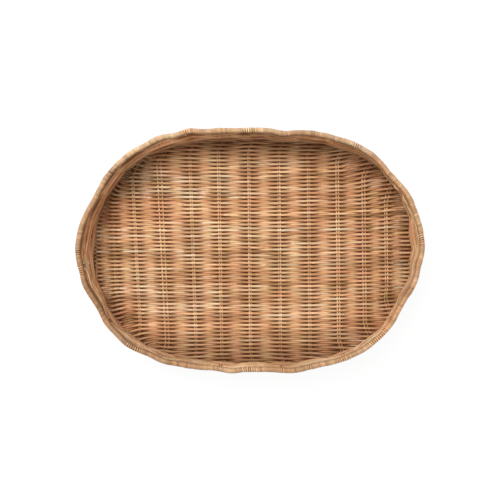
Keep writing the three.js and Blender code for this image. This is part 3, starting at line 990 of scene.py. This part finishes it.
# Foot wale: three rods round the bend of the stakes, each past two stakes and behind the third
wale = {
    "rods": 3,
    "radius": 0.0019,
    "low": 0.0019,
    "high": 0.0093,
    "offset": 0.0026,  # in front of the stakes and behind them
    "outset": 0.0008,  # the whole band stands out by this
    "drop": 0.3,  # a rod drops behind a stake over this share of the space on either side
    "stepsPerStake": 12,
    "shape": {"Wobble": 0.0004, "Swelling": 0.15, "Grain": 50.0, "Seed": 31.0},
    "natural": {"lengths": (0.5, 1.6)},
    "seed": 41,
}


def waleStrand(rod, draw):
    count = oval["stakes"] * wale["stepsPerStake"]
    rods, drop = wale["rods"], wale["drop"]
    points = []
    for i in range(count):
        share = i / count
        place = (oval["stakes"] * share + rod) % rods
        inside = min(place, rods - place)
        offset = -math.cos(math.pi * min(inside, 1)) * wale["offset"] + wale["outset"]
        climb = clamp((place - drop) / (rods - 2 * drop))
        if inside < drop:
            climb = 0.5 - (place if place < 1 else place - rods) / (2 * drop)
        height = wale["low"] + (wale["high"] - wale["low"]) * climb
        points.append(settle(wallPoint(share, height, offset)))
    tints, tones = caneColours(points, draw, wale["natural"])
    return {"points": points, "closed": True, "reedRadius": wale["radius"], "tint": tints, "tone": tones}


def makeWale():
    draw = random.Random(wale["seed"])
    strands = [waleStrand(rod, draw) for rod in range(wale["rods"])]
    growPiece("footWale", strands, levelCane, wale["shape"], wallMaterial, "foot_wale")


makeWale()
print("wale laid")

# Rim: a cane hoop on the stakes, lapped all round with flat cane
rim = {
    "coreRadius": 0.0026,
    "coreStepsPerStake": 14,
    # the hoop is darkened: painted shade seen between the lapping's turns
    "coreTone": 0.4,
    "coreLook": {"bump": 0.2},
    "coreShape": {"Wobble": 0.0, "Swelling": 0.05, "Seed": 47.0},
    "lapRadius": 0.0035,
    "lapWidth": 0.0041,
    "lapThickness": 0.0009,
    "lapTone": 0.8,  # share of the natural difference in brightness
    "lapTint": 0.06,
    "lapLook": {"Gain": 0.85, "Top Shade And Dirt": 0.5, "Fibre": 0.12, "specular": 0.35},
    "lapShape": {"Sides": 8, "Wobble": 0.0, "Seed": 59.0},
    "lapNatural": {"lengths": (0.4, 1.6), "tintSpread": 0.07},
    "turns": 420,
    "stepsPerTurn": 16,
    "turnSpread": 0.14,  # how much the turns differ in brightness
    "turnRange": (0.75, 1.25),
    "swell": 0.0006,  # lumps over the stakes
    "swellPower": 4,
    "swellRange": (0.2, 1.0),
    "innerShade": 0.4,  # painted shade on the side towards the wall
    "innerZone": (0.55, 0.98),
    "innerLights": [(268, 24, 0.2)],  # but less so at the front
    "outerLight": 0.16,  # painted light on the outer side
    "outerZone": (0.3, 0.7),
    "outerLights": [(112, 30, -0.12), (181, 8, -0.25), (225, 22, 0.12), (312, 30, 0.16)],  # more or less so
    "edgeShade": 0.34,  # and painted shade on its outermost line
    "edgeZone": (0.8, 1),
    "edgeShades": [(90, 70, 0.22)],  # more so at the back
    "shades": [  # where the lapping is darker or paler: direction and spread in degrees, change
        (200, 24, -0.24), (225, 14, -0.1), (152, 8, -0.05), (128, 16, 0.08), (104, 6, 0.10),
        (90, 7, 0.2), (75, 6, 0.05), (208, 10, 0.08), (270, 8, 0.1), (285, 8, -0.05), (330, 14, 0.24),
        (2, 12, 0.1), (14, 9, 0.08),
    ],
    "tints": [  # where it is redder or straw
        (210, 40, -0.22), (330, 16, 0.1), (132, 18, 0.1), (250, 14, -0.1), (285, 10, -0.08),
        (150, 8, -0.1),
    ],
    "joints": [(-0.1995, 0.1115), (0.2020, 0.0915), (-0.236, -0.061)],  # one cane ends under the next
    "jointZone": (0.001, 0.004),
    "jointShade": 0.5,
    "openTurns": [  # where the lapping lies open: place in the plan, and how far it goes either way
        (-0.002, 0.170, 0.014), (-0.091, 0.167, 0.006), (0.151, 0.147, 0.008), (0.248, 0.017, 0.014),
        (0.187, -0.129, 0.024), (0.132, -0.154, 0.006), (0.084, -0.166, 0.006), (0.046, -0.169, 0.005),
        (-0.002, -0.169, 0.014), (-0.088, -0.170, 0.006), (-0.165, -0.135, 0.016),
        (-0.244, -0.031, 0.011), (-0.247, -0.003, 0.008),
    ],
    "openZone": (0, 0.4),
    "openNoise": (0.6, 60, 2.1),  # and anywhere: how much, how often round the tray, seed
    # open turns are paler: painted highlight where they catch the light
    "openLight": 0.25,
    "openNarrow": 0.38,
    "seed": 53,
}


def rimLine(share):
    at, _, outward = rimAt(share)
    at.z = oval["rimHeight"]
    return settle(at), outward


def coreStrand(draw):
    count = oval["stakes"] * rim["coreStepsPerStake"]
    points = [rimLine(i / count)[0] for i in range(count)]
    tints, tones = caneColours(points, draw, {})
    tones = [rim["coreTone"] * tone for tone in tones]
    return {"points": points, "closed": True, "reedRadius": rim["coreRadius"], "tint": tints, "tone": tones}


def openness(at, share):  # 1 where the lapping's turns lie apart
    bold = max(1 - (at.xy - Vector(spot[:2])).length / spot[2] for spot in rim["openTurns"])
    amount, often, seed = rim["openNoise"]
    return max(smoothStep(*rim["openZone"], bold), amount * noise.noise(Vector((share * often, seed, 0))))


def lapShade(at, out):  # painted shade towards the wall and on the outermost line, painted light on the outer side; out is 1 on the outermost line, -1 on the innermost
    direction = directionOf(at)
    shade = 1 + pressedIn(rim["shades"], direction)
    joint = min((at.xy - Vector(place)).length for place in rim["joints"])
    shade *= 1 - rim["jointShade"] * (1 - smoothStep(*rim["jointZone"], joint))
    innerShade = rim["innerShade"] - pressedIn(rim["innerLights"], direction)
    outerLight = rim["outerLight"] + pressedIn(rim["outerLights"], direction)
    edgeShade = rim["edgeShade"] + pressedIn(rim["edgeShades"], direction)
    inner = smoothStep(*rim["innerZone"], -out)
    edge = smoothStep(*rim["edgeZone"], out)
    outer = smoothStep(*rim["outerZone"], out) * (1 - edge)
    return shade * (1 - innerShade * inner + outerLight * outer - edgeShade * edge)


def lapStrand(draw):
    steps = rim["stepsPerTurn"]
    count = rim["turns"] * steps
    turnTones = [clamp(draw.gauss(1.0, rim["turnSpread"]), *rim["turnRange"]) for _ in range(rim["turns"])]
    lumps = [draw.uniform(*rim["swellRange"]) for _ in range(oval["stakes"] + 1)]
    points, facing, shades, changes, widths = [], [], [], [], []
    for i in range(count):
        share = i / count
        at, outward = rimLine(share)
        lump = max(0.0, math.cos(2 * math.pi * oval["stakes"] * share)) ** rim["swellPower"]
        lump *= lumps[round(oval["stakes"] * share)]
        turn = 2 * math.pi * (i % steps) / steps
        away = outward * math.cos(turn) + Vector((0, 0, math.sin(turn)))
        points.append(at + away * (rim["lapRadius"] + rim["swell"] * lump))
        facing.append(away)
        bold = openness(at, share)
        shades.append(turnTones[i // steps] * lapShade(at, math.cos(turn)) * (1 + rim["openLight"] * bold))
        changes.append(rim["lapTint"] + pressedIn(rim["tints"], directionOf(at)))
        widths.append(1 - rim["openNarrow"] * bold)
    tints, tones = caneColours(points, draw, rim["lapNatural"])
    return {
        "points": points, "closed": True, "facing": facing, "reedRadius": widths,
        "tint": [tint + change for tint, change in zip(tints, changes)],
        "tone": [shade * (1 + rim["lapTone"] * (tone - 1)) for shade, tone in zip(shades, tones)],
    }


def makeRim():
    draw = random.Random(rim["seed"])
    core, lapping = coreStrand(draw), lapStrand(draw)
    coreMaterial = caneMaterial("hoopCane", rim["coreLook"])
    growPiece("rimCore", [core], levelCane, rim["coreShape"], coreMaterial, "rim_core")
    lapMaterial = caneMaterial("lapCane", rim["lapLook"])
    shape = rim["lapShape"] | {"Width": rim["lapThickness"] / 2, "Height": rim["lapWidth"] / 2}
    growPiece("rimLapping", [lapping], woundCane, shape, lapMaterial, "rim_lapping")


makeRim()
print("rim lapped")

# Pale studio floor, white to the camera but still taking the shadow
studio = {
    "size": 6.0,
    "floorColour": (0.8, 0.8, 0.8, 1.0),
    "underShade": (0.3, 0.17, 0.08, 1.0),  # painted shade: dark brown ground under the tray, seen through its gaps
    "underEdge": (0.96, 1.03),  # share of the way out where that ends
    "dimColour": (0.1, 0.1, 0.1, 1.0),  # seen together with the glow, so that the shadow shows
    "glow": 0.93,
    "glowEdge": (1.01, 1.05),  # share of the way out where the glow begins
    "dent": (0.225, -0.085, 0.0),  # the corner where the tray is pressed in
    "dentReach": (0.02, 0.08),
    "dentDepth": 0.16,
    "fill": 0.43,
    "keyPower": 30.0,
    "keySize": 1.3,
    "keyPlace": (-0.5, 0.85, 1.8),
}


def besideTray(tree, inner, outer):  # 0 on the ground under the tray, 1 beside it
    ground = addNode(tree, "ShaderNodeTexCoord").outputs["Object"]
    place = addNode(tree, "ShaderNodeSeparateXYZ", {0: ground}).outputs
    shares = []  # of the rim's outline and of the floor's
    for side, end in (("sidePower", "endPower"), ("floorSidePower", "floorEndPower")):
        parts = []
        for i, (half, power) in enumerate((("halfLength", side), ("halfWidth", end))):
            share = calc(tree, "DIVIDE", place[i], oval[half])
            share = calc(tree, "ABSOLUTE", share)
            parts.append(calc(tree, "POWER", share, oval[power]))
        shares.append(calc(tree, "ADD", *parts))
    toDent = {0: ground, 1: studio["dent"]}
    toDent = addNode(tree, "ShaderNodeVectorMath", toDent, operation="DISTANCE").outputs["Value"]
    dented = ramped(tree, toDent, *studio["dentReach"], studio["dentDepth"], 0.0)
    share = calc(tree, "ADD", calc(tree, "MINIMUM", *shares), dented)
    return ramped(tree, share, inner, outer)


def seenRays(tree):  # camera, glossy and transmission rays see white
    path = addNode(tree, "ShaderNodeLightPath").outputs
    first = calc(tree, "MAXIMUM", path["Is Camera Ray"], path["Is Glossy Ray"])
    return calc(tree, "MAXIMUM", first, path["Is Transmission Ray"])


def groundMaterial():
    material = bpy.data.materials.new("paleFloor")
    material.use_nodes = True
    tree = material.node_tree
    tree.nodes.remove(tree.nodes["Principled BSDF"])

    def shader(kind, inputs=None):
        return addNode(tree, "ShaderNode" + kind, inputs).outputs[0]

    beside = besideTray(tree, *studio["underEdge"])
    colour = mixed(tree, beside, studio["underShade"], studio["floorColour"])
    pale = shader("BsdfDiffuse", {"Color": colour})
    dim = shader("BsdfDiffuse", {"Color": studio["dimColour"]})
    glow = shader("Emission", {"Strength": studio["glow"]})
    seen = shader("AddShader", {0: dim, 1: glow})
    white = calc(tree, "MULTIPLY", seenRays(tree), besideTray(tree, *studio["glowEdge"]))
    ground = shader("MixShader", {0: white, 1: pale, 2: seen})
    below = addNode(tree, "ShaderNodeNewGeometry").outputs["Backfacing"]
    clear = shader("BsdfTransparent")
    oneWay = shader("MixShader", {0: below, 1: ground, 2: clear})  # seen through from below
    feed(tree, tree.nodes["Material Output"].inputs["Surface"], oneWay)
    return material


def makeStudio():
    mesh = bpy.data.meshes.new("studioFloor")
    half = studio["size"] / 2
    corners = [(-half, -half, 0), (half, -half, 0), (half, half, 0), (-half, half, 0)]
    mesh.from_pydata(corners, [], [(0, 1, 2, 3)])
    mesh.materials.append(groundMaterial())
    floor = bpy.data.objects.new("studioFloor", mesh)
    bpy.context.scene.collection.objects.link(floor)

    world = bpy.data.worlds.new("studioWorld")
    world.use_nodes = True
    tree = world.node_tree
    strength = {0: seenRays(tree), 3: studio["fill"], 4: 1.0}
    strength = addNode(tree, "ShaderNodeMapRange", strength).outputs[0]
    for key, value in (("Color", (1, 1, 1, 1)), ("Strength", strength)):
        feed(tree, tree.nodes["Background"].inputs[key], value)
    bpy.context.scene.world = world

    light = bpy.data.lights.new("keyLight", "AREA")
    light.energy = studio["keyPower"]
    light.size = studio["keySize"]
    lamp = bpy.data.objects.new("keyLight", light)
    lamp.location = studio["keyPlace"]
    lamp.rotation_euler = (-Vector(studio["keyPlace"])).to_track_quat("-Z", "Y").to_euler()
    bpy.context.scene.collection.objects.link(lamp)


makeStudio()
print("studio lit")

# Camera looks straight down from a little to the front and right, the picture shifted onto the tray
view = {
    "away": (0.085, -0.040, 0.878),  # from the target
    "target": (-0.0007, 0.0, oval["rimHeight"]),
    "span": 0.7150,  # width of the picture at the rim
    "sensor": 36.0,
}


def makeCamera():
    camera = bpy.data.cameras.new("camera")
    camera.sensor_width = view["sensor"]
    away = Vector(view["away"])
    camera.lens = view["sensor"] * away.z / view["span"]
    camera.shift_x = -away.x / view["span"]
    camera.shift_y = -away.y / view["span"]
    holder = bpy.data.objects.new("camera", camera)
    holder.location = Vector(view["target"]) + away
    bpy.context.scene.collection.objects.link(holder)
    bpy.context.scene.camera = holder


makeCamera()
bpy.context.scene.view_settings.view_transform = "Standard"
